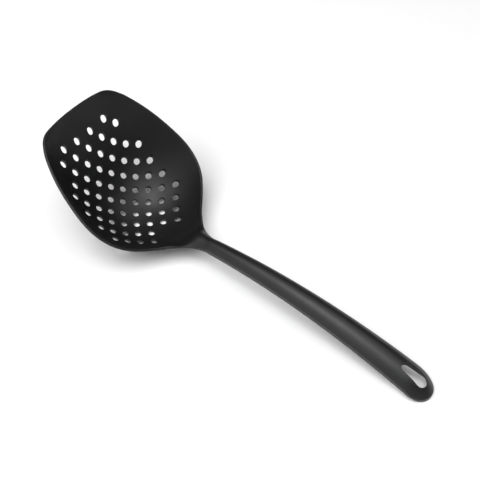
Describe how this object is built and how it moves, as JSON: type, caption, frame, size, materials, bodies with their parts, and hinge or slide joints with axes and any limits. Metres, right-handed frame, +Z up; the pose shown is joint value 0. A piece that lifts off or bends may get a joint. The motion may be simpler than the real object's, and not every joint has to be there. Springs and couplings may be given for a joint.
{
  "type": "slotted serving spoon",
  "caption": "Deep perforated scoop with a flat-cut lip, an arched handle and a drop-shaped hanging hole, in matte black nylon.",
  "frame": {"origin": "on the table, halfway between the bowl's lip and the handle's tip, under the spoon's centre line", "axes": "+X from the bowl's lip to the handle's tip, +Z up, so XZ is the plane of symmetry; +Y to the handle's left as seen from above when looking along +X"},
  "size_m": [0.3399, 0.119, 0.0928],
  "materials": {
    "black_nylon": "satin matte moulded nylon"
  },
  "bodies": {
    "root": {"spoon_head": "black_nylon", "handle_shell": "black_nylon", "handle_cover": "black_nylon"}
  },
  "joints": []
}
